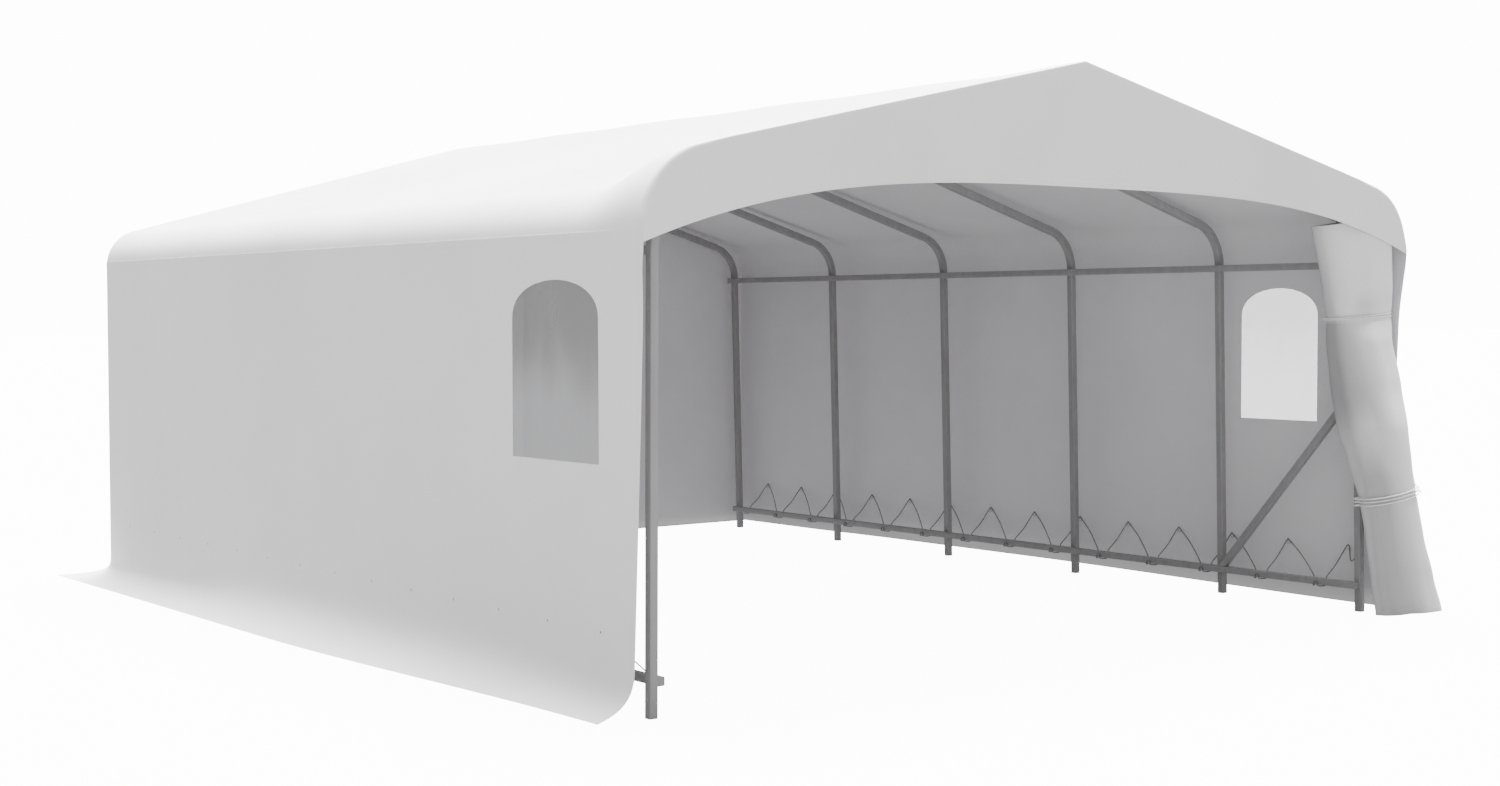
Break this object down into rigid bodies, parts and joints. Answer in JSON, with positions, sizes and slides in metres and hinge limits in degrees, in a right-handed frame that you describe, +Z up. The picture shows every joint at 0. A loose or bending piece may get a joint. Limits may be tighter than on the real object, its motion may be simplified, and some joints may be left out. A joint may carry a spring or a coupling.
{
  "type": "fabric storage shelter",
  "caption": "Long peaked storage shelter: square-tube arches and rails under a white fabric cover with windows, a flared skirt, an open front and one tied-back door curtain.",
  "frame": {"origin": "middle of the whole footprint, on the ground", "axes": "the open front faces -Y, the closed rear wall +Y, the ridge runs along Y, +Z up; left is -X"},
  "size_m": [5.743, 6.6185, 2.9399],
  "materials": {
    "frame_tube": "satin grey",
    "cover_cloth": "smooth coated white",
    "window_film": "translucent",
    "cord": "twisted"
  },
  "bodies": {
    "root": {"arch_1_left_leg": "frame_tube", "arch_1_right_leg": "frame_tube", "arch_1_left_rafter": "frame_tube", "arch_1_right_rafter": "frame_tube", "arch_2_left_leg": "frame_tube", "arch_2_right_leg": "frame_tube", "arch_2_left_rafter": "frame_tube", "arch_2_right_rafter": "frame_tube", "arch_3_left_leg": "frame_tube", "arch_3_right_leg": "frame_tube", "arch_3_left_rafter": "frame_tube", "arch_3_right_rafter": "frame_tube", "arch_4_left_leg": "frame_tube", "arch_4_right_leg": "frame_tube", "arch_4_left_rafter": "frame_tube", "arch_4_right_rafter": "frame_tube", "arch_5_left_leg": "frame_tube", "arch_5_right_leg": "frame_tube", "arch_5_left_rafter": "frame_tube", "arch_5_right_rafter": "frame_tube", "arch_6_left_leg": "frame_tube", "arch_6_right_leg": "frame_tube", "arch_6_left_rafter": "frame_tube", "arch_6_right_rafter": "frame_tube", "bottom_rail_left": "frame_tube", "bottom_rail_right": "frame_tube", "side_purlin_left": "frame_tube", "side_purlin_right": "frame_tube", "ridge_purlin": "frame_tube", "corner_brace": "frame_tube", "roof_left": "cover_cloth", "roof_right": "cover_cloth", "wall_left": "cover_cloth", "wall_right": "cover_cloth", "rear_wall": "cover_cloth", "front_gable": "cover_cloth", "window_left": "window_film", "window_right": "window_film", "door_curtain": "cover_cloth", "curtain_tie_upper": "cord", "curtain_tie_lower": "cord", "lacing_rope_left": "cord", "lacing_rope_right": "cord"}
  },
  "joints": []
}
